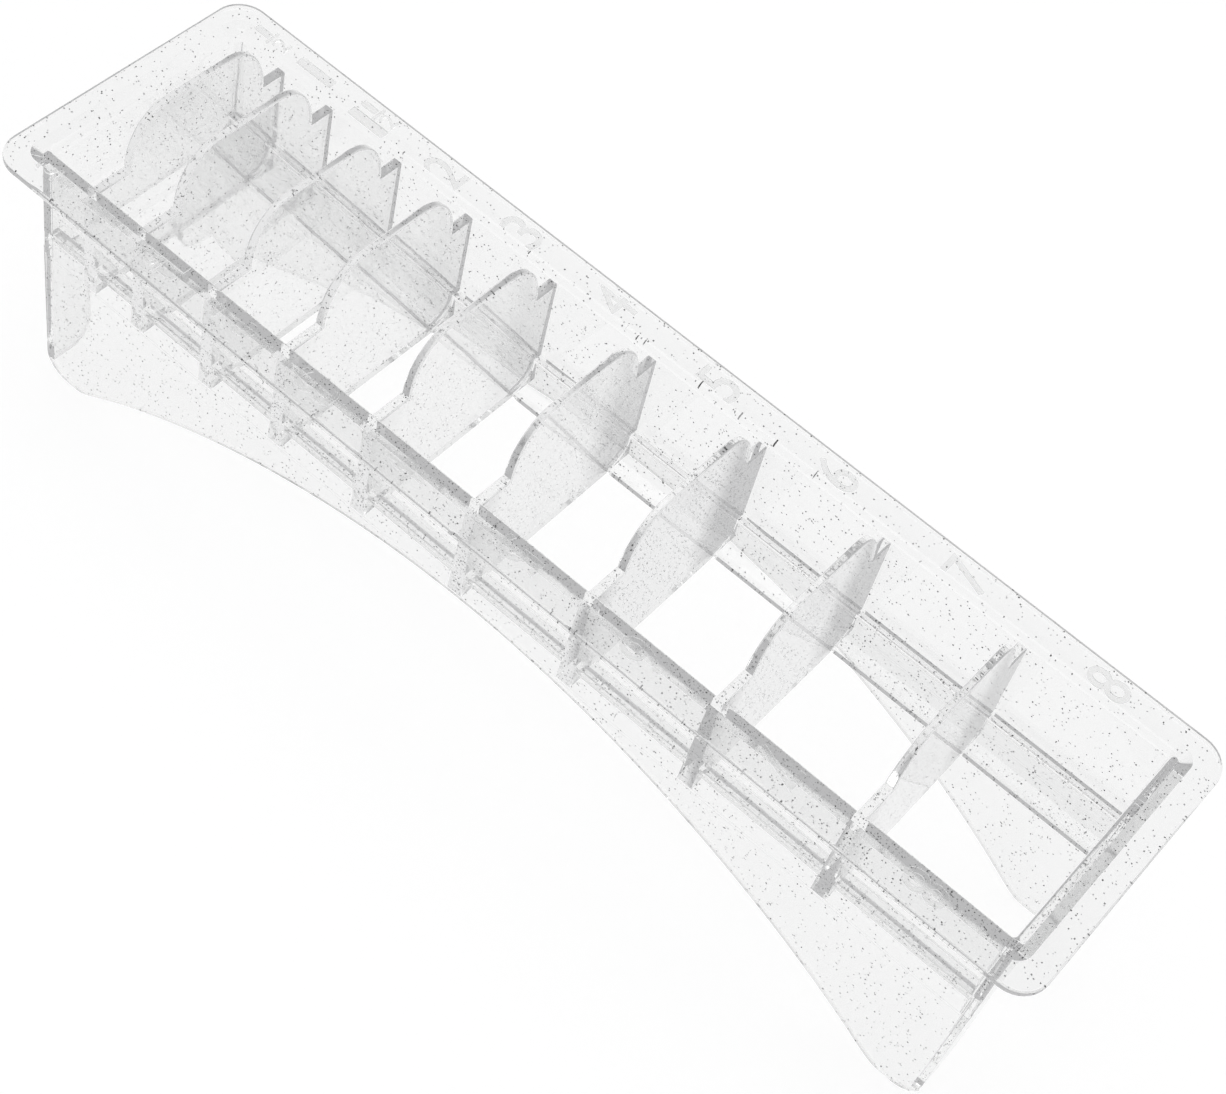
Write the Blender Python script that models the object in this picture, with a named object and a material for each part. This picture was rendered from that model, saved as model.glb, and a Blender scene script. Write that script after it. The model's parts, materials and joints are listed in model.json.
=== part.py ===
"""Ten-slot storage tray for clipper guide combs, injection moulded in clear plastic.

X runs along the tray from the narrow slots to the wide ones, Y from front to back, Z up.
The origin is on the standing surface, under the middle of the rim.
Heights inside the tray are given as depths below the top of the rim.
"""

import math

import bmesh
import bpy

MM = 0.001

# Rim: the flat flange round the walls' top edge.
RIM_LENGTH = 315.0 * MM
RIM_WIDTH = 85.3 * MM
RIM_THICKNESS = 2.0 * MM
RIM_CORNER_RADIUS = 8.0 * MM
RIM_HEIGHT = 85.5 * MM

# Body: the walled box that hangs in the rim, a little off its middle.
BODY_CENTRE_X = -1.0 * MM
BODY_CENTRE_Y = 1.0 * MM
INNER_HALF_LENGTH = 147.0 * MM
INNER_HALF_WIDTH = 32.4 * MM
SIDE_WALL = 1.6 * MM
END_WALL = 2.2 * MM
SIDE_DRAFT = 0.022

# Depths below the top of the rim.
LEDGE_DEPTH = 29.4 * MM
LEDGE_THICKNESS = 1.6 * MM
TRAY_DEPTH = 38.8 * MM
FOOT_DEPTH = RIM_HEIGHT

# Ledge and the curved cradle under it, half section measured from the body's centre plane.
LEDGE_INNER = 29.2 * MM
CRADLE_START_DEPTH = 31.6 * MM
CRADLE_INNER_RADII = (6.8 * MM, 5.6 * MM)
CRADLE_OUTER_RADII = (8.4 * MM, 7.2 * MM)
LIP_INNER = 22.4 * MM

# Dividers: the slots between them widen from left to right.
SLOT_PITCHES = [pitch * MM for pitch in (14.2, 17.0, 23.9, 24.2, 28.1, 32.2, 34.9, 37.8, 40.1, 41.6)]
DIVIDER_TOP_THICKNESS = 1.9 * MM
DIVIDER_BOTTOM_THICKNESS = 4.4 * MM
SHOULDER_DEPTH = 3.0 * MM
TAB_HEIGHT = 13.4 * MM
TAB_FRONT = -20.9 * MM
TAB_BACK = 25.0 * MM
TAB_CORNER = 12.0 * MM

# Legs: the side walls run on down past an arch to four rounded feet.
ARCH_TOP_DEPTH = 39.0 * MM
ARCH_CONTROL_NEAR = (52.0 * MM, 39.0 * MM)
ARCH_CONTROL_FAR = (100.0 * MM, 60.5 * MM)
ARCH_END = (130.0 * MM, 81.5 * MM)
TOE_CONTROL_NEAR = (134.4 * MM, 84.6 * MM)
TOE_CONTROL_FAR = (136.4 * MM, FOOT_DEPTH)
FOOT_FLAT_START = 138.4 * MM
FOOT_CORNER_RADIUS = 7.0 * MM
WEB_WIDTH = 12.8 * MM
WEB_THICKNESS = 2.0 * MM
WEB_BOTTOM_DEPTH = 81.5 * MM
WEB_CORNER_RADIUS = 7.0 * MM

GAP = 0.3 * MM
ARCH_STEPS = 16
CORNER_STEPS = 8

CLEAR_PLASTIC = (0.93, 0.94, 0.94, 1.0)
PLASTIC_ROUGHNESS = 0.08
PLASTIC_ALPHA = 0.35
PLASTIC_METALLIC = 0.0

OUTER_HALF_LENGTH = INNER_HALF_LENGTH + END_WALL
LEFT_INNER_X = BODY_CENTRE_X - INNER_HALF_LENGTH
WALL_BOTTOM_DEPTH = LEDGE_DEPTH + LEDGE_THICKNESS


def clear_the_file():
    for item in list(bpy.data.objects):
        bpy.data.objects.remove(item, do_unlink=True)


def height(depth):
    """World height of a depth below the top of the rim."""
    return RIM_HEIGHT - depth


def side_inner(depth):
    """Half width between the side walls' inner faces at a depth."""
    return INNER_HALF_WIDTH - SIDE_DRAFT * depth


def side_outer(depth):
    """Half width over the side walls' outer faces at a depth."""
    return side_inner(depth) + SIDE_WALL


def arc(centre, radii, start_degrees, end_degrees, steps):
    """Points on an ellipse's arc, both ends included."""
    points = []
    for step in range(steps + 1):
        angle = math.radians(start_degrees + (end_degrees - start_degrees) * step / steps)
        points.append((centre[0] + radii[0] * math.cos(angle), centre[1] + radii[1] * math.sin(angle)))
    return points


def cubic(start, control_a, control_b, end, steps):
    """Points on a cubic Bezier curve, both ends included."""
    points = []
    for step in range(steps + 1):
        t = step / steps
        weights = ((1 - t) ** 3, 3 * t * (1 - t) ** 2, 3 * t * t * (1 - t), t ** 3)
        knots = (start, control_a, control_b, end)
        points.append(tuple(sum(w * k[axis] for w, k in zip(weights, knots)) for axis in (0, 1)))
    return points


def clear_plastic(name):
    material = bpy.data.materials.new(name + "_plastic")
    material.use_nodes = True
    shader = material.node_tree.nodes["Principled BSDF"]
    shader.inputs["Base Color"].default_value = CLEAR_PLASTIC
    shader.inputs["Roughness"].default_value = PLASTIC_ROUGHNESS
    shader.inputs["Metallic"].default_value = PLASTIC_METALLIC
    shader.inputs["Alpha"].default_value = PLASTIC_ALPHA
    material.diffuse_color = CLEAR_PLASTIC
    return material


def sheet_body(name, near_points, far_points):
    """One closed body between two matching outlines, made by bridging their edge loops."""
    mesh = bpy.data.meshes.new(name)
    work = bmesh.new()
    near = [work.verts.new(point) for point in near_points]
    far = [work.verts.new(point) for point in far_points]
    work.faces.new(near)
    work.faces.new(list(reversed(far)))
    count = len(near)
    for index in range(count):
        following = (index + 1) % count
        work.faces.new((near[following], near[index], far[index], far[following]))
    bmesh.ops.recalc_face_normals(work, faces=work.faces)
    work.to_mesh(mesh)
    work.free()
    mesh.materials.append(clear_plastic(name))
    body = bpy.data.objects.new(name, mesh)
    bpy.context.scene.collection.objects.link(body)
    return body


def plan_sheet(name, outline, top_depth, bottom_depth):
    """A flat plate from its outline in X and Y."""
    top = [(x, y, height(top_depth)) for x, y in outline]
    bottom = [(x, y, height(bottom_depth)) for x, y in outline]
    return sheet_body(name, top, bottom)


def cross_sheet(name, outline, low_x, high_x):
    """A body from an outline in Y and depth. low_x and high_x give its faces at a depth."""
    near = [(low_x(depth), BODY_CENTRE_Y + y, height(depth)) for y, depth in outline]
    far = [(high_x(depth), BODY_CENTRE_Y + y, height(depth)) for y, depth in outline]
    return sheet_body(name, near, far)


def side_sheet(name, outline, side):
    """A piece of a drafted side wall from its outline in X and depth. side is -1 in front, 1 behind."""
    outer = []
    inner = []
    for x, depth in outline:
        outer.append((BODY_CENTRE_X + x, BODY_CENTRE_Y + side * side_outer(depth), height(depth)))
        inner.append((BODY_CENTRE_X + x, BODY_CENTRE_Y + side * side_inner(depth), height(depth)))
    return sheet_body(name, outer, inner)


def add_rim():
    half_length = RIM_LENGTH / 2
    half_width = RIM_WIDTH / 2
    centre_x = half_length - RIM_CORNER_RADIUS
    centre_y = half_width - RIM_CORNER_RADIUS
    radii = (RIM_CORNER_RADIUS, RIM_CORNER_RADIUS)
    for name, side in (("rim_front", -1), ("rim_back", 1)):
        inner_y = BODY_CENTRE_Y + side * (side_outer(0) + GAP)
        past_corner = max(0.0, side * inner_y - centre_y)
        cut = side * math.degrees(math.asin(past_corner / RIM_CORNER_RADIUS))
        outline = arc((-centre_x, side * centre_y), radii, 180 - cut, 180 - 90 * side, CORNER_STEPS)
        outline += arc((centre_x, side * centre_y), radii, 90 * side, cut, CORNER_STEPS)
        if not past_corner:
            outline = [(-half_length, inner_y), *outline, (half_length, inner_y)]
        plan_sheet(name, outline, 0.0, RIM_THICKNESS)
    low_y = BODY_CENTRE_Y - side_outer(0)
    high_y = BODY_CENTRE_Y + side_outer(0)
    for name, side in (("rim_left", -1), ("rim_right", 1)):
        inner_x = BODY_CENTRE_X + side * (OUTER_HALF_LENGTH + GAP)
        outer_x = side * half_length
        outline = [(inner_x, low_y), (outer_x, low_y), (outer_x, high_y), (inner_x, high_y)]
        plan_sheet(name, outline, 0.0, RIM_THICKNESS)


def add_side_walls():
    for name, side in (("side_wall_front", -1), ("side_wall_back", 1)):
        low_x = -OUTER_HALF_LENGTH
        high_x = OUTER_HALF_LENGTH
        outline = [(low_x, 0.0), (high_x, 0.0)]
        outline += [(high_x, WALL_BOTTOM_DEPTH), (low_x, WALL_BOTTOM_DEPTH)]
        side_sheet(name, outline, side)


def add_end_walls():
    outline = [(-side_inner(0) + GAP, 0.0), (side_inner(0) - GAP, 0.0)]
    outline += [(side_inner(TRAY_DEPTH) - GAP, TRAY_DEPTH), (-side_inner(TRAY_DEPTH) + GAP, TRAY_DEPTH)]
    for name, side in (("end_wall_left", -1), ("end_wall_right", 1)):
        inner_x = BODY_CENTRE_X + side * INNER_HALF_LENGTH
        outer_x = BODY_CENTRE_X + side * OUTER_HALF_LENGTH
        cross_sheet(name, outline, lambda depth, x=inner_x: x, lambda depth, x=outer_x: x)


def leg_outline():
    """Half of a side's lower wall, in distance from the middle and depth."""
    top_depth = WALL_BOTTOM_DEPTH + GAP
    corner_x = OUTER_HALF_LENGTH - FOOT_CORNER_RADIUS
    corner_depth = FOOT_DEPTH - FOOT_CORNER_RADIUS
    outline = [(GAP / 2, top_depth)]
    outline += cubic((GAP / 2, ARCH_TOP_DEPTH), ARCH_CONTROL_NEAR, ARCH_CONTROL_FAR, ARCH_END, ARCH_STEPS)
    toe_end = (FOOT_FLAT_START, FOOT_DEPTH)
    outline += cubic(ARCH_END, TOE_CONTROL_NEAR, TOE_CONTROL_FAR, toe_end, CORNER_STEPS)[1:]
    radii = (FOOT_CORNER_RADIUS, FOOT_CORNER_RADIUS)
    outline += arc((corner_x, corner_depth), radii, 90, 0, CORNER_STEPS)
    outline.append((OUTER_HALF_LENGTH, top_depth))
    return outline


def add_legs():
    outline = leg_outline()
    for row, side in (("front", -1), ("back", 1)):
        for end, direction in (("left", -1), ("right", 1)):
            side_sheet(f"leg_{row}_{end}", [(direction * x, depth) for x, depth in outline], side)


def add_leg_webs():
    """The narrow end panels that stiffen each leg, one behind each corner."""
    top_depth = TRAY_DEPTH + GAP
    for row, side in (("front", -1), ("back", 1)):
        inner_y = side_inner(WEB_BOTTOM_DEPTH) - WEB_WIDTH
        outline = [(side_inner(top_depth) - GAP, top_depth), (inner_y, top_depth)]
        centre = (inner_y + WEB_CORNER_RADIUS, WEB_BOTTOM_DEPTH - WEB_CORNER_RADIUS)
        outline += arc(centre, (WEB_CORNER_RADIUS, WEB_CORNER_RADIUS), 180, 90, CORNER_STEPS)
        outline.append((side_inner(WEB_BOTTOM_DEPTH) - GAP, WEB_BOTTOM_DEPTH))
        mirrored = [(side * y, depth) for y, depth in outline]
        for end, direction in (("left", -1), ("right", 1)):
            outer_x = BODY_CENTRE_X + direction * OUTER_HALF_LENGTH
            inner_x = outer_x - direction * WEB_THICKNESS
            cross_sheet(
                f"leg_web_{row}_{end}",
                mirrored,
                lambda depth, x=outer_x: x,
                lambda depth, x=inner_x: x,
            )


def divider_thickness(depth):
    share = (depth + TAB_HEIGHT) / (TRAY_DEPTH + TAB_HEIGHT)
    return DIVIDER_TOP_THICKNESS + (DIVIDER_BOTTOM_THICKNESS - DIVIDER_TOP_THICKNESS) * share


def divider_positions():
    """The nine dividers' middles, from left to right."""
    positions = []
    x = LEFT_INNER_X
    for pitch in SLOT_PITCHES[:-1]:
        x += pitch
        positions.append(x)
    return positions


def divider_outline():
    """A divider with its raised tab, in distance from the body's centre plane and depth."""
    shoulder_end = side_inner(SHOULDER_DEPTH) - GAP
    bottom_end = side_inner(TRAY_DEPTH) - GAP
    radii = (TAB_CORNER, TAB_HEIGHT + SHOULDER_DEPTH)
    outline = [(-bottom_end, TRAY_DEPTH), (-shoulder_end, SHOULDER_DEPTH)]
    outline += arc((TAB_FRONT + TAB_CORNER, SHOULDER_DEPTH), radii, 180, 270, CORNER_STEPS)
    outline += arc((TAB_BACK - TAB_CORNER, SHOULDER_DEPTH), radii, 270, 360, CORNER_STEPS)
    outline += [(shoulder_end, SHOULDER_DEPTH), (bottom_end, TRAY_DEPTH)]
    return outline


def add_dividers():
    outline = divider_outline()
    for number, x in enumerate(divider_positions(), start=1):
        cross_sheet(
            f"divider_{number:02d}",
            outline,
            lambda depth, x=x: x - divider_thickness(depth) / 2,
            lambda depth, x=x: x + divider_thickness(depth) / 2,
        )


def ledge_outline():
    """Section of the ledge, the curved cradle under it and its lip."""
    centre = (LIP_INNER, CRADLE_START_DEPTH)
    outline = [(side_inner(LEDGE_DEPTH) - GAP, LEDGE_DEPTH), (LEDGE_INNER, LEDGE_DEPTH)]
    outline += arc(centre, CRADLE_INNER_RADII, 0, 90, CORNER_STEPS)
    outline += arc(centre, CRADLE_OUTER_RADII, 90, 0, CORNER_STEPS)
    outline.append((side_inner(CRADLE_START_DEPTH) - GAP, CRADLE_START_DEPTH - GAP))
    return outline


def slot_sides():
    """Each slot's left and right faces, as functions of depth."""
    left_faces = [lambda depth: LEFT_INNER_X]
    right_faces = []
    for x in divider_positions():
        right_faces.append(lambda depth, x=x: x - divider_thickness(depth) / 2)
        left_faces.append(lambda depth, x=x: x + divider_thickness(depth) / 2)
    right_faces.append(lambda depth: BODY_CENTRE_X + INNER_HALF_LENGTH)
    return list(zip(left_faces, right_faces))


def add_ledges():
    outline = ledge_outline()
    for row, side in (("front", -1), ("back", 1)):
        section = [(side * y, depth) for y, depth in outline]
        for number, (left, right) in enumerate(slot_sides(), start=1):
            cross_sheet(
                f"ledge_{row}_{number:02d}",
                section,
                lambda depth, left=left: left(depth) + GAP,
                lambda depth, right=right: right(depth) - GAP,
            )


def main():
    clear_the_file()
    add_rim()
    add_side_walls()
    add_end_walls()
    add_legs()
    add_leg_webs()
    add_dividers()
    add_ledges()


main()
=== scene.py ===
"""Looks for the clear ten-slot comb tray: one glossy moulding with glitter flecks.

The real tray is a single moulding, so its walls, rim, legs, dividers and ledges are rebuilt here as
one clear body with rounded edges, over the frame's separate nodes.
Depths are metres below the top of the rim.
"""

import json
import math
import random

import bmesh
import bpy
from mathutils import Matrix, Vector

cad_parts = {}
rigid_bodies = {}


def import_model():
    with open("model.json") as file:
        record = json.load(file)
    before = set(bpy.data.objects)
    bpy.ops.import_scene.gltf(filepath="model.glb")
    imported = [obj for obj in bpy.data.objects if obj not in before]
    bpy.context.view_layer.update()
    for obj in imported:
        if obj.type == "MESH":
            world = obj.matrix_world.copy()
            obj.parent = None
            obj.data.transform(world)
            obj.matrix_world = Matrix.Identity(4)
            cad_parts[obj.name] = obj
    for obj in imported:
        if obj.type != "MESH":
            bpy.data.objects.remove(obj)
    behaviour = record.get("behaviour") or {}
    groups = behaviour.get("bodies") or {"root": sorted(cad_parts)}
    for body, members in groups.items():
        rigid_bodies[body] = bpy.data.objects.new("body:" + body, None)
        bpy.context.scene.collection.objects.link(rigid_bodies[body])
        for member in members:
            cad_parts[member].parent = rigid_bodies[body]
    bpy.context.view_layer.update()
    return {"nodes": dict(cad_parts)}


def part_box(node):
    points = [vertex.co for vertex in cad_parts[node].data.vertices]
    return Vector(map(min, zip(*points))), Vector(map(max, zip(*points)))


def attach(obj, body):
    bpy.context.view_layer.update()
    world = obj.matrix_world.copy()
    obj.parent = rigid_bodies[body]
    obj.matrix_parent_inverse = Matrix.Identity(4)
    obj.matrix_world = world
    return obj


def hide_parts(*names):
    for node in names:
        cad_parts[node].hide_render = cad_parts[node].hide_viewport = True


MM = 0.001
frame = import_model()


# Sizes from the frame

def box_centre(name, axis):
    low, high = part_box(name)
    return (low[axis] + high[axis]) / 2


RIM_LOW, RIM_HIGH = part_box("rim_front")[0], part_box("rim_back")[1]
RIM_TOP = RIM_HIGH.z
RIM_THICKNESS = RIM_TOP - RIM_LOW.z
RIM_HALF = ((RIM_HIGH.x - RIM_LOW.x) / 2, (RIM_HIGH.y - RIM_LOW.y) / 2)
LEFT_WALL, RIGHT_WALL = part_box("end_wall_left"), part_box("end_wall_right")
FRONT_WALL, BACK_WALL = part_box("side_wall_front"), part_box("side_wall_back")
BODY_X = (LEFT_WALL[0].x + RIGHT_WALL[1].x) / 2
BODY_Y = (FRONT_WALL[0].y + BACK_WALL[1].y) / 2
INNER_LENGTH = (RIGHT_WALL[0].x - LEFT_WALL[1].x) / 2
OUTER_LENGTH = (RIGHT_WALL[1].x - LEFT_WALL[0].x) / 2
OUTER_WIDTH = (BACK_WALL[1].y - FRONT_WALL[0].y) / 2
TRAY_DEPTH = RIM_TOP - LEFT_WALL[0].z
FOOT_DEPTH = RIM_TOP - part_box("leg_front_left")[0].z
TAB_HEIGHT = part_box("divider_01")[1].z - RIM_TOP
DIVIDER_COUNT = 9
DIVIDER_X = [box_centre(f"divider_{number:02d}", 0) for number in range(1, DIVIDER_COUNT + 1)]
DIVIDER_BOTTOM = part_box("divider_01")[1].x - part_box("divider_01")[0].x

# Sizes of the moulded form that the boxes don't give
RIM_CORNER = 8.0 * MM
RIM_EDGE_ROUND = 0.6 * MM
SIDE_WALL = 1.6 * MM
SIDE_DRAFT = 0.022
INNER_WIDTH = OUTER_WIDTH - SIDE_WALL
MOUTH_ROUND = 1.1 * MM
MOUTH_CORNER = 1.0 * MM
MIDDLE_CORNER = 1.2 * MM
INNER_BOTTOM_CORNER = 0.8 * MM
OUTER_BOTTOM_CORNER = 0.6 * MM
GUSSET = 2.8 * MM
GUSSET_CORNER = 1.5 * MM
DIVIDER_TOP = 1.9 * MM
DIVIDER_LIFT = 0.1 * MM
SHOULDER_DEPTH = 3.0 * MM
TAB_FRONT = -20.9 * MM
TAB_BACK = 25.0 * MM
TAB_CORNER = 12.0 * MM
EDGE_ROUND = 0.45 * MM
FUSE = 0.7 * MM
SKIRT_STEP = 0.08 * MM
SKIRT_OVERLAP = 3.0 * MM
SKIRT_TOP_DEPTH = TRAY_DEPTH - SKIRT_OVERLAP
ARCH_TOP_DEPTH = 39.0 * MM
ARCH_CONTROL_NEAR = (52.0 * MM, ARCH_TOP_DEPTH)
ARCH_CONTROL_FAR = (100.0 * MM, 60.5 * MM)
ARCH_END = (130.0 * MM, 81.5 * MM)
FOOT_FLAT_START = 138.4 * MM
TOE_CONTROL_NEAR = (ARCH_END[0] + 4.4 * MM, FOOT_DEPTH - 0.9 * MM)
TOE_CONTROL_FAR = (FOOT_FLAT_START - 2.0 * MM, FOOT_DEPTH)
FOOT_CORNER = 7.0 * MM
WEB_WIDTH = 12.8 * MM
WEB_THICKNESS = 2.0 * MM
WEB_BOTTOM_DEPTH = 81.5 * MM
WEB_CORNER = 7.0 * MM
LEDGE_DEPTH = 29.4 * MM
LEDGE_INNER = 29.2 * MM
LIP_INNER = 22.4 * MM
CRADLE_START_DEPTH = 31.6 * MM
CRADLE_INNER_RADII = (6.8 * MM, 5.6 * MM)
CRADLE_OUTER_RADII = (8.4 * MM, 7.1 * MM)

SHARP_ANGLE = 38.0
FLAT_FACE_WEIGHT = 100
CORNER_STEPS = 10
TAB_STEPS = 14
CRADLE_STEPS = 24
ROUND_STEPS = 4
EDGE_STEPS = 3
CIRCULAR = 0.5
ARCH_STEPS = 40
ROWS = (("front", -1), ("back", 1))

DIGIT_WIDTH = 5.8 * MM
DIGIT_HEIGHT = 11.6 * MM
ONE_WIDTH = 2.6 * MM
SMALL_HEIGHT = 4.6 * MM
SMALL_ONE_WIDTH = 1.8 * MM
SMALL_TWO_WIDTH = 3.2 * MM
SMALL_RISE = 3.2 * MM
BAR_WIDTH = 4.4 * MM
BAR_HEIGHT = 0.7 * MM
HALF_SHIFT = 1.6 * MM
ONE_SHIFT = -2.6 * MM
GLYPH_STEPS = 5
MERGE_DISTANCE = 0.001 * MM
WHOLE_SIZES = range(2, 9)

# Each glyph of a numeral: its text, width, height, and how far its middle lies right of and above
# the numeral's own middle.
ONE_HALF = (
    ("1", SMALL_ONE_WIDTH, SMALL_HEIGHT, 0, SMALL_RISE),
    ("-", BAR_WIDTH, BAR_HEIGHT, 0, 0),
    ("2", SMALL_TWO_WIDTH, SMALL_HEIGHT, 0, -SMALL_RISE),
)
NUMERAL_RELIEF = 0.45 * MM
NUMERAL_GAP = 0.03 * MM
NUMERAL_Y = 36.6 * MM
NUMERAL_MIDDLE_Y = 0.5 * MM

FLECK_COUNT = 15000
FLECK_RADII = (0.14 * MM, 0.30 * MM)
FLECK_TILT = 0.45
FLECK_DEPTHS = (0.25 * MM, 0.9 * MM)
FLECK_SEED = 7
FLECK_DARK = (0.04, 0.04, 0.04, 1)
FLECK_PALE = (0.55, 0.55, 0.56, 1)
FLECK_ROUGHNESS = 0.3

PLASTIC_COLOUR = (0.91, 0.911, 0.911, 1)
PLASTIC_IOR = 1.49
RIPPLE_SCALE = 55.0
RIPPLE_DETAIL = 2.0
RIPPLE_STRENGTH = 0.08
RIPPLE_HEIGHT = 0.6 * MM
HAZE_SCALE = 420.0
HAZE_DETAIL = 3.0
HAZE_RANGE = (0.35, 0.7)
ROUGHNESS_RANGE = (0.015, 0.07)
LET_THROUGH = (0.992, 0.992, 0.992, 1)

# Light that is mirrored about inside the plastic more often than this is cut off and replaced by a
# painted grey glow, with a painted shade that makes it darker in the outer walls and the rim than in the
# dividers between them.
TRAPPED_REFLECTIONS = 2.5
TRAPPED_CROSSINGS = 10.5
PAINTED_GLOW_IN_DIVIDERS = (0.84, 0.84, 0.843, 1)
PAINTED_SHADE_IN_WALLS = (0.50, 0.50, 0.505, 1)
# Painted shade: over these distances from the tray's middle the glow darkens towards the outer walls.
PAINTED_SHADE_REACH_X = (138.0 * MM, 144.0 * MM)
PAINTED_SHADE_REACH_Y = (16.0 * MM, 26.0 * MM)

FLOOR_HALF = 3.0
FLOOR_COLOUR = (0.92, 0.92, 0.92, 1)
FLOOR_ROUGHNESS = 0.9
CAMERA_PLACE = Vector((0.16805, -0.31804, 0.53727))
CAMERA_AZIMUTH = math.radians(26.28)
CAMERA_ELEVATION = math.radians(53.89)
CAMERA_ROLL = math.radians(17.26)
CAMERA_SENSOR = 36.0
CAMERA_LENS = 72.70
CAMERA_SHIFT = (0.0091, 0.0082)
CAMERA_NEAREST = 0.01
LAMP_PLACE = (0.0, 0.0, 1.6)
LAMP_SIZE = 1.6
LAMP_POWER = 7.5
SKY_COLOUR = (1, 1, 1, 1)
SKY_STRENGTH = 0.88


# Outlines

def side_inner(depth):
    return INNER_WIDTH - SIDE_DRAFT * depth


def side_outer(depth):
    return side_inner(depth) + SIDE_WALL


def arc(centre, radii, start, end, steps):
    """Points on an ellipse's arc between two angles in degrees, both ends included."""
    points = []
    for step in range(steps + 1):
        angle = math.radians(start + (end - start) * step / steps)
        points.append((centre[0] + radii[0] * math.cos(angle), centre[1] + radii[1] * math.sin(angle)))
    return points


def cubic(knots, steps):
    """Points on a cubic Bezier curve with four knots, both ends included."""
    points = []
    for step in range(steps + 1):
        t = step / steps
        weights = ((1 - t) ** 3, 3 * t * (1 - t) ** 2, 3 * t * t * (1 - t), t ** 3)
        points.append(tuple(sum(w * k[axis] for w, k in zip(weights, knots)) for axis in (0, 1)))
    return points


def rounded_rectangle(centre, half, radius):
    """A rounded rectangle in plan, anticlockwise, with the same number of points whatever its radius."""
    points = []
    for sign_x, sign_y, start in ((1, 1, 0), (-1, 1, 90), (-1, -1, 180), (1, -1, 270)):
        corner = (centre[0] + sign_x * (half[0] - radius), centre[1] + sign_y * (half[1] - radius))
        points += arc(corner, (radius, radius), start, start + 90, CORNER_STEPS)
    return points


# Mesh making

def mesh_object(name, work):
    """A scene object from a bmesh, with its faces turned outward."""
    bmesh.ops.recalc_face_normals(work, faces=work.faces)
    mesh = bpy.data.meshes.new(name)
    work.to_mesh(mesh)
    work.free()
    body = bpy.data.objects.new(name, mesh)
    bpy.context.scene.collection.objects.link(body)
    return body


def lofted_ring(name, loops):
    """A closed ring-shaped body skinned over matching loops, the last one joined back to the first."""
    work = bmesh.new()
    rows = [[work.verts.new(point) for point in loop] for loop in loops]
    count = len(rows[0])
    for row, following in zip(rows, rows[1:] + rows[:1]):
        for index in range(count):
            after = (index + 1) % count
            work.faces.new((row[index], row[after], following[after], following[index]))
    return mesh_object(name, work)


def plate(name, near, far, edge_round=0.0):
    """A plate between two matching outlines, with its edges rounded except along the bottom."""
    work = bmesh.new()
    first = [work.verts.new(point) for point in near]
    second = [work.verts.new(point) for point in far]
    faces = [work.faces.new(first), work.faces.new(list(reversed(second)))]
    count = len(first)
    for index in range(count):
        after = (index + 1) % count
        work.faces.new((first[after], first[index], second[index], second[after]))
    bmesh.ops.recalc_face_normals(work, faces=work.faces)
    if edge_round:
        bottom = min(vert.co.z for vert in work.verts) + edge_round
        edges = list({edge for face in faces for edge in face.edges})
        edges = [edge for edge in edges if min(vert.co.z for vert in edge.verts) > bottom]
        bmesh.ops.bevel(
            work,
            geom=edges,
            offset=edge_round,
            segments=EDGE_STEPS,
            profile=CIRCULAR,
            affect="EDGES",
            clamp_overlap=True,
        )
    return mesh_object(name, work)


# The moulding

def rim_and_wall_loops():
    """Loops round the section: up the walls' inside, over the mouth and flange, and down the outside."""
    loops = []

    def add_loop(centre, half, depth, radius):
        plan = rounded_rectangle(centre, half, radius)
        loops.append([(x, y, RIM_TOP - depth) for x, y in plan])

    def body_loop(growth, depth, radius):
        add_loop((BODY_X, BODY_Y), (INNER_LENGTH + growth, side_inner(depth) + growth), depth, radius)

    def rim_loop(inset, depth):
        add_loop((0, 0), (RIM_HALF[0] - inset, RIM_HALF[1] - inset), depth, RIM_CORNER - inset)

    def outer_loop(offset, depth, radius):
        half = (OUTER_LENGTH + offset, side_outer(depth) + offset)
        add_loop((BODY_X, BODY_Y), half, depth, radius)

    body_loop(0, TRAY_DEPTH, INNER_BOTTOM_CORNER)
    body_loop(0, TRAY_DEPTH / 2, MIDDLE_CORNER)
    body_loop(0, MOUTH_ROUND * 2, MOUTH_CORNER)
    mouth = (MOUTH_ROUND, MOUTH_ROUND)
    for growth, depth in arc(mouth, mouth, 180, 270, ROUND_STEPS):
        body_loop(growth, depth, MOUTH_CORNER + growth)
    rim_edge = (RIM_EDGE_ROUND, RIM_EDGE_ROUND)
    for inset, depth in arc(rim_edge, rim_edge, 270, 180, ROUND_STEPS):
        rim_loop(inset, depth)
    lower_edge = (RIM_EDGE_ROUND, RIM_THICKNESS - RIM_EDGE_ROUND)
    for inset, depth in arc(lower_edge, rim_edge, 180, 90, ROUND_STEPS):
        rim_loop(inset, depth)
    outer_loop(GUSSET, RIM_THICKNESS, GUSSET_CORNER + GUSSET)
    outer_loop(0, RIM_THICKNESS + GUSSET, GUSSET_CORNER)
    outer_loop(0, TRAY_DEPTH, OUTER_BOTTOM_CORNER)
    return loops


def make_rim_and_walls():
    """The flange and the four walls, with a rounded mouth and a sloping gusset under the flange."""
    return lofted_ring("moulding", rim_and_wall_loops())


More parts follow.
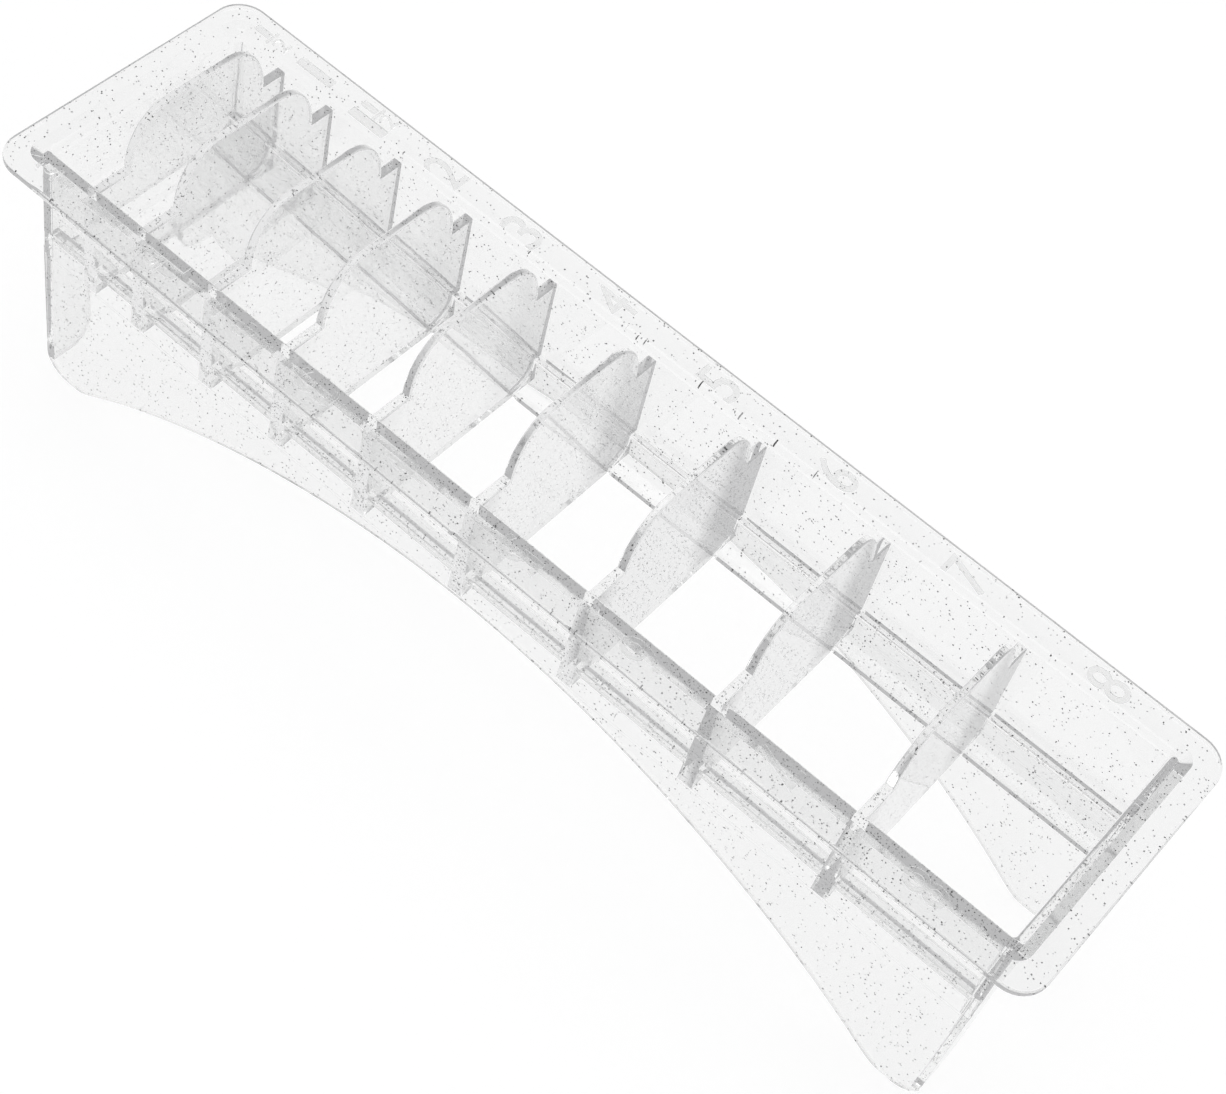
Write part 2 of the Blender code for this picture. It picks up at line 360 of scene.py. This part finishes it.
def skirt_outline():
    """A side's lower wall with its arch and feet, in distance from the middle and depth."""
    half = cubic(((0, ARCH_TOP_DEPTH), ARCH_CONTROL_NEAR, ARCH_CONTROL_FAR, ARCH_END), ARCH_STEPS)
    toe = (ARCH_END, TOE_CONTROL_NEAR, TOE_CONTROL_FAR, (FOOT_FLAT_START, FOOT_DEPTH))
    half += cubic(toe, CORNER_STEPS)[1:]
    end = OUTER_LENGTH - SKIRT_STEP
    centre = (end - FOOT_CORNER, FOOT_DEPTH - FOOT_CORNER)
    half += arc(centre, (FOOT_CORNER, FOOT_CORNER), 90, 0, CORNER_STEPS)
    half.append((end, SKIRT_TOP_DEPTH))
    mirrored = [(-x, depth) for x, depth in reversed(half[1:])]
    return mirrored + half


def side_sheet(outline, side, width_at, outward):
    """An outline laid along one side, where a function of depth gives how far out it lies."""
    sheet = []
    for x, depth in outline:
        sheet.append((BODY_X + x, BODY_Y + side * (width_at(depth) + outward), RIM_TOP - depth))
    return sheet


def cross_sheet(outline, side, x):
    """An outline laid across the tray at one place along it."""
    return [(x, BODY_Y + side * y, RIM_TOP - depth) for y, depth in outline]


def make_skirts():
    """The lower side walls, each just inside the faces of the wall above it."""
    skirts = []
    outline = skirt_outline()
    for row, side in ROWS:
        outer = side_sheet(outline, side, side_outer, -SKIRT_STEP)
        inner = side_sheet(outline, side, side_inner, SKIRT_STEP)
        skirts.append(plate(f"skirt_{row}", outer, inner, EDGE_ROUND))
    return skirts


def make_webs():
    """The end panels that turn each leg into an angle."""
    webs = []
    inner_y = side_inner(WEB_BOTTOM_DEPTH) - WEB_WIDTH
    outer_y = side_inner(WEB_BOTTOM_DEPTH) + SIDE_WALL / 2
    outline = [(outer_y, SKIRT_TOP_DEPTH), (inner_y, SKIRT_TOP_DEPTH)]
    centre = (inner_y + WEB_CORNER, WEB_BOTTOM_DEPTH - WEB_CORNER)
    outline += arc(centre, (WEB_CORNER, WEB_CORNER), 180, 90, CORNER_STEPS)
    outline.append((outer_y, WEB_BOTTOM_DEPTH))
    for side in (-1, 1):
        for end in (-1, 1):
            outer_x = BODY_X + end * (OUTER_LENGTH - 2 * SKIRT_STEP)
            inner_x = outer_x - end * WEB_THICKNESS
            near = cross_sheet(outline, side, outer_x)
            far = cross_sheet(outline, side, inner_x)
            webs.append(plate("web", near, far, EDGE_ROUND))
    return webs


def divider_half_thickness(depth):
    """Half a divider's thickness, which grows evenly from its tab to its foot."""
    share = (depth + TAB_HEIGHT) / (TRAY_DEPTH + TAB_HEIGHT)
    return (DIVIDER_TOP + (DIVIDER_BOTTOM - DIVIDER_TOP) * share) / 2


def divider_outline():
    """A divider from the front: drafted sides, shoulders under the rim and a rounded tab."""
    shoulder_end = side_inner(SHOULDER_DEPTH) + FUSE
    bottom_depth = TRAY_DEPTH - DIVIDER_LIFT
    bottom_end = side_inner(bottom_depth) + FUSE
    radii = (TAB_CORNER, TAB_HEIGHT + SHOULDER_DEPTH)
    outline = [(-bottom_end, bottom_depth), (-shoulder_end, SHOULDER_DEPTH)]
    outline += arc((TAB_FRONT + TAB_CORNER, SHOULDER_DEPTH), radii, 180, 270, TAB_STEPS)
    outline += arc((TAB_BACK - TAB_CORNER, SHOULDER_DEPTH), radii, 270, 360, TAB_STEPS)
    outline += [(shoulder_end, SHOULDER_DEPTH), (bottom_end, bottom_depth)]
    return outline


def make_dividers():
    outline = divider_outline()
    dividers = []
    for x in DIVIDER_X:
        near = [(x - divider_half_thickness(depth), BODY_Y + y, RIM_TOP - depth) for y, depth in outline]
        far = [(x + divider_half_thickness(depth), BODY_Y + y, RIM_TOP - depth) for y, depth in outline]
        dividers.append(plate("divider", near, far, EDGE_ROUND))
    return dividers


def ledge_outline():
    """Section of the ledge that a comb rests on, the curved cradle under it and its lip."""
    centre = (LIP_INNER, CRADLE_START_DEPTH)
    outline = [(side_inner(LEDGE_DEPTH) + FUSE, LEDGE_DEPTH), (LEDGE_INNER, LEDGE_DEPTH)]
    outline += arc(centre, CRADLE_INNER_RADII, 0, 90, CRADLE_STEPS)
    outline += arc(centre, CRADLE_OUTER_RADII, 90, 0, CRADLE_STEPS)
    outline.append((side_inner(CRADLE_START_DEPTH) + FUSE, CRADLE_START_DEPTH))
    return outline


def make_ledges():
    ledges = []
    outline = ledge_outline()
    half = INNER_LENGTH + FUSE
    for side in (-1, 1):
        near = cross_sheet(outline, side, BODY_X - half)
        far = cross_sheet(outline, side, BODY_X + half)
        ledges.append(plate("ledge", near, far))
    return ledges


def fuse(base, parts):
    """Joins the parts to the base as one closed body."""
    group = bpy.data.collections.new("fused_parts")
    bpy.context.scene.collection.children.link(group)
    for part in parts:
        bpy.context.scene.collection.objects.unlink(part)
        group.objects.link(part)
    join = base.modifiers.new("fuse", "BOOLEAN")
    join.operation = "UNION"
    join.operand_type = "COLLECTION"
    join.collection = group
    join.solver = "EXACT"
    view_layer = bpy.context.evaluated_depsgraph_get()
    joined = bpy.data.meshes.new_from_object(base.evaluated_get(view_layer))
    base.modifiers.clear()
    base.data = joined
    for part in parts:
        bpy.data.objects.remove(part)
    bpy.data.collections.remove(group)
    return base


def smooth_rounds(body):
    """Shades the rounded edges smoothly and keeps the flat faces flat."""
    body.data.shade_smooth()
    body.data.set_sharp_from_angle(angle=math.radians(SHARP_ANGLE))
    weighting = body.modifiers.new("flat_faces", "WEIGHTED_NORMAL")
    weighting.keep_sharp = True
    weighting.weight = FLAT_FACE_WEIGHT


def make_moulding():
    base = make_rim_and_walls()
    moulding = fuse(base, make_skirts() + make_webs() + make_ledges() + make_dividers())
    smooth_rounds(moulding)
    return moulding


# Numerals

def slot_middles():
    """The middle of each slot, from the faces and dividers on either side of it."""
    edges = [LEFT_WALL[1].x, *DIVIDER_X, RIGHT_WALL[0].x]
    return [(low + high) / 2 for low, high in zip(edges, edges[1:])]


def numeral_glyphs():
    """The glyphs of each slot's numeral, from one half to eight."""
    one = ("1", ONE_WIDTH, DIGIT_HEIGHT, 0, 0)
    one_and_half = [("1", ONE_WIDTH, DIGIT_HEIGHT, ONE_SHIFT, 0)]
    for text, width, height, right, above in ONE_HALF:
        one_and_half.append((text, width, height, right + HALF_SHIFT, above))
    whole = [[(str(digit), DIGIT_WIDTH, DIGIT_HEIGHT, 0, 0)] for digit in WHOLE_SIZES]
    return [ONE_HALF, [one], one_and_half, *whole]


def glyph_mesh(text, width, height, right, above):
    """One raised glyph, stretched to its width and height, with its middle at the given place."""
    curve = bpy.data.curves.new("glyph", "FONT")
    curve.body = text
    curve.extrude = 1.0
    curve.resolution_u = GLYPH_STEPS
    letters = bpy.data.objects.new("glyph", curve)
    bpy.context.scene.collection.objects.link(letters)
    view_layer = bpy.context.evaluated_depsgraph_get()
    mesh = bpy.data.meshes.new_from_object(letters.evaluated_get(view_layer))
    bpy.data.objects.remove(letters)
    low = [min(vert.co[axis] for vert in mesh.vertices) for axis in (0, 1, 2)]
    high = [max(vert.co[axis] for vert in mesh.vertices) for axis in (0, 1, 2)]
    centring = Matrix.Translation([-(a + b) / 2 for a, b in zip(low, high)])
    target = (width, height, NUMERAL_RELIEF)
    sizing = Matrix.Diagonal([size / (b - a) for size, a, b in zip(target, low, high)]).to_4x4()
    mesh.transform(Matrix.Translation((right, above, 0)) @ sizing @ centring)
    return mesh


def make_numeral(name, glyphs, x, y, turn):
    """One raised number on the rim, centred on a point and turned to read along the slot."""
    work = bmesh.new()
    for glyph in glyphs:
        work.from_mesh(glyph_mesh(*glyph))
    bmesh.ops.transform(work, matrix=Matrix.Rotation(math.radians(turn), 4, "Z"), verts=work.verts)
    bmesh.ops.remove_doubles(work, verts=work.verts, dist=MERGE_DISTANCE)
    numeral = mesh_object(name, work)
    numeral.location = (x, y, RIM_TOP + NUMERAL_GAP + NUMERAL_RELIEF / 2)
    return numeral


def make_numerals():
    numerals = []
    for number, (x, glyphs) in enumerate(zip(slot_middles(), numeral_glyphs()), start=1):
        for row, side in ROWS:
            y = NUMERAL_MIDDLE_Y + side * NUMERAL_Y
            numerals.append(make_numeral(f"numeral_{row}_{number:02d}", glyphs, x, y, side * 90))
    return numerals


# Glitter

def make_flecks(body):
    """Small four-cornered flakes set just under the plastic's surface, spread evenly by area."""
    chance = random.Random(FLECK_SEED)
    mesh = body.data
    mesh.calc_loop_triangles()
    triangles = list(mesh.loop_triangles)
    areas = [triangle.area for triangle in triangles]
    work = bmesh.new()
    for triangle in chance.choices(triangles, weights=areas, k=FLECK_COUNT):
        corners = [mesh.vertices[index].co for index in triangle.vertices]
        u, v = sorted((chance.random(), chance.random()))
        point = corners[0] * u + corners[1] * (v - u) + corners[2] * (1 - v)
        centre = point - triangle.normal * chance.uniform(*FLECK_DEPTHS)
        radius = chance.uniform(*FLECK_RADII)
        tilt = Vector([chance.gauss(0, FLECK_TILT) for _ in range(3)])
        facing = (triangle.normal + tilt).normalized()
        across = facing.orthogonal().normalized() * radius
        along = facing.cross(across)
        work.faces.new([work.verts.new(centre + offset) for offset in (across, along, -across, -along)])
    return mesh_object("glitter_flecks", work)


# Materials

def new_material(name):
    material = bpy.data.materials.new(name)
    material.use_nodes = True
    nodes = material.node_tree.nodes
    return material, nodes, material.node_tree.links, nodes["Principled BSDF"], nodes["Material Output"]


def calculate(material, operation, *values):
    """A Math node fed by sockets or plain numbers. Returns its output socket."""
    node = material.node_tree.nodes.new("ShaderNodeMath")
    node.operation = operation
    for index, value in enumerate(values):
        if isinstance(value, bpy.types.NodeSocket):
            material.node_tree.links.new(value, node.inputs[index])
        else:
            node.inputs[index].default_value = value
    return node.outputs["Value"]


def remap(material, value, source, target=(0.0, 1.0)):
    """A clamped Map Range node from one range to another. Returns its output socket."""
    node = material.node_tree.nodes.new("ShaderNodeMapRange")
    node.inputs["From Min"].default_value = source[0]
    node.inputs["From Max"].default_value = source[1]
    node.inputs["To Min"].default_value = target[0]
    node.inputs["To Max"].default_value = target[1]
    material.node_tree.links.new(value, node.inputs["Value"])
    return node.outputs["Result"]


def noise(material, place, scale, detail):
    """A noise texture over the object's own coordinates. Returns its strength socket."""
    node = material.node_tree.nodes.new("ShaderNodeTexNoise")
    node.inputs["Scale"].default_value = scale
    node.inputs["Detail"].default_value = detail
    material.node_tree.links.new(place, node.inputs["Vector"])
    return node.outputs["Fac"]


def wall_nearness(material, place):
    """Mask of the painted shade: nought among the dividers and one at the outer walls, by distance from
    the tray's middle.
    """
    axes = material.node_tree.nodes.new("ShaderNodeSeparateXYZ")
    material.node_tree.links.new(place, axes.inputs["Vector"])
    shares = []
    for axis, middle, reach in (("X", BODY_X, PAINTED_SHADE_REACH_X), ("Y", BODY_Y, PAINTED_SHADE_REACH_Y)):
        offset = calculate(material, "SUBTRACT", axes.outputs[axis], middle)
        shares.append(remap(material, calculate(material, "ABSOLUTE", offset), reach))
    return calculate(material, "MAXIMUM", *shares)


def trapped_glow(material, place):
    """The even grey of trapped light, painted as a glow: paler in the dividers, with a darker painted
    shade at the walls.
    """
    nodes, links = material.node_tree.nodes, material.node_tree.links
    shade = nodes.new("ShaderNodeMix")
    shade.data_type = "RGBA"
    shade.inputs["A"].default_value = PAINTED_GLOW_IN_DIVIDERS
    shade.inputs["B"].default_value = PAINTED_SHADE_IN_WALLS
    glow = nodes.new("ShaderNodeEmission")
    links.new(wall_nearness(material, place), shade.inputs["Factor"])
    links.new(shade.outputs["Result"], glow.inputs["Color"])
    return glow.outputs["Emission"]


def mix_shaders(material, factor, first, second):
    node = material.node_tree.nodes.new("ShaderNodeMixShader")
    material.node_tree.links.new(factor, node.inputs["Fac"])
    material.node_tree.links.new(first, node.inputs[1])
    material.node_tree.links.new(second, node.inputs[2])
    return node.outputs["Shader"]


def clear_plastic():
    """Clear moulded plastic: faint flow ripple, slight haze, shadows that let light through, and a
    painted grey glow where light is trapped inside.
    """
    material, nodes, links, shader, output = new_material("clear_plastic")
    shader.inputs["Base Color"].default_value = PLASTIC_COLOUR
    shader.inputs["IOR"].default_value = PLASTIC_IOR
    shader.inputs["Transmission Weight"].default_value = 1.0
    place = nodes.new("ShaderNodeTexCoord").outputs["Object"]
    bump = nodes.new("ShaderNodeBump")
    bump.inputs["Strength"].default_value = RIPPLE_STRENGTH
    bump.inputs["Distance"].default_value = RIPPLE_HEIGHT
    links.new(noise(material, place, RIPPLE_SCALE, RIPPLE_DETAIL), bump.inputs["Height"])
    links.new(bump.outputs["Normal"], shader.inputs["Normal"])
    haze = noise(material, place, HAZE_SCALE, HAZE_DETAIL)
    links.new(remap(material, haze, HAZE_RANGE, ROUGHNESS_RANGE), shader.inputs["Roughness"])
    light = nodes.new("ShaderNodeLightPath").outputs
    # Past these many mirrorings or crossings the plastic shows the painted grey glow instead of its glass
    # shading.
    mirrored = calculate(material, "GREATER_THAN", light["Glossy Depth"], TRAPPED_REFLECTIONS)
    crossed = calculate(material, "GREATER_THAN", light["Ray Depth"], TRAPPED_CROSSINGS)
    trapped = calculate(material, "MAXIMUM", mirrored, crossed)
    inside = mix_shaders(material, trapped, shader.outputs["BSDF"], trapped_glow(material, place))
    passing = nodes.new("ShaderNodeBsdfTransparent")
    passing.inputs["Color"].default_value = LET_THROUGH
    unbent = calculate(material, "MAXIMUM", light["Is Shadow Ray"], light["Is Diffuse Ray"])
    surface = mix_shaders(material, unbent, inside, passing.outputs["BSDF"])
    links.new(surface, output.inputs["Surface"])
    return material


def fleck_metal():
    """Silvery flakes, each a little lighter or darker than the next."""
    material, nodes, links, shader, _ = new_material("glitter_metal")
    shader.inputs["Metallic"].default_value = 1.0
    shader.inputs["Roughness"].default_value = FLECK_ROUGHNESS
    flake = nodes.new("ShaderNodeNewGeometry")
    shades = nodes.new("ShaderNodeValToRGB")
    shades.color_ramp.elements[0].color = FLECK_DARK
    shades.color_ramp.elements[1].color = FLECK_PALE
    links.new(flake.outputs["Random Per Island"], shades.inputs["Fac"])
    links.new(shades.outputs["Color"], shader.inputs["Base Color"])
    return material


def pale_floor():
    material, _, _, shader, _ = new_material("pale_floor")
    shader.inputs["Base Color"].default_value = FLOOR_COLOUR
    shader.inputs["Roughness"].default_value = FLOOR_ROUGHNESS
    shader.inputs["Specular IOR Level"].default_value = 0.0
    return material


# Stage

def make_floor():
    work = bmesh.new()
    bmesh.ops.create_grid(work, x_segments=1, y_segments=1, size=FLOOR_HALF)
    floor = mesh_object("floor", work)
    floor.data.materials.append(pale_floor())


def make_camera():
    """The camera stands to the front right of the tray, looking down, with its right side raised."""
    level = math.cos(CAMERA_ELEVATION)
    ahead = Vector(
        (-math.sin(CAMERA_AZIMUTH) * level, math.cos(CAMERA_AZIMUTH) * level, -math.sin(CAMERA_ELEVATION))
    )
    level_right = ahead.cross(Vector((0, 0, 1))).normalized()
    right = Matrix.Rotation(-CAMERA_ROLL, 3, ahead) @ level_right
    up = right.cross(ahead)
    turn = Matrix((right, up, -ahead)).transposed().to_4x4()
    camera = bpy.data.objects.new("camera", bpy.data.cameras.new("camera"))
    camera.matrix_world = Matrix.Translation(CAMERA_PLACE) @ turn
    camera.data.sensor_width = CAMERA_SENSOR
    camera.data.lens = CAMERA_LENS
    camera.data.shift_x, camera.data.shift_y = CAMERA_SHIFT
    camera.data.clip_start = CAMERA_NEAREST
    bpy.context.scene.collection.objects.link(camera)
    bpy.context.scene.camera = camera


def make_lights():
    """A white surround and one large soft lamp straight above."""
    world = bpy.data.worlds.new("studio")
    world.use_nodes = True
    sky = world.node_tree.nodes["Background"]
    sky.inputs["Color"].default_value = SKY_COLOUR
    sky.inputs["Strength"].default_value = SKY_STRENGTH
    bpy.context.scene.world = world
    lamp = bpy.data.lights.new("overhead", "AREA")
    lamp.size = LAMP_SIZE
    lamp.energy = LAMP_POWER
    holder = bpy.data.objects.new("overhead", lamp)
    holder.location = LAMP_PLACE
    bpy.context.scene.collection.objects.link(holder)
    bpy.context.scene.view_settings.view_transform = "Standard"


def clear_start_scene():
    for item in list(bpy.data.objects):
        if item.type in {"CAMERA", "LIGHT"} or item.name == "Cube":
            bpy.data.objects.remove(item, do_unlink=True)


def dress(piece, material):
    """Gives a piece its material, and says that it rides on the tray."""
    piece.data.materials.clear()
    piece.data.materials.append(material)
    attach(piece, "root")


def main():
    clear_start_scene()
    plastic = clear_plastic()
    moulding = make_moulding()
    dress(moulding, plastic)
    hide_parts(*frame["nodes"])
    for numeral in make_numerals():
        dress(numeral, plastic)
    dress(make_flecks(moulding), fleck_metal())
    make_floor()
    make_camera()
    make_lights()


main()
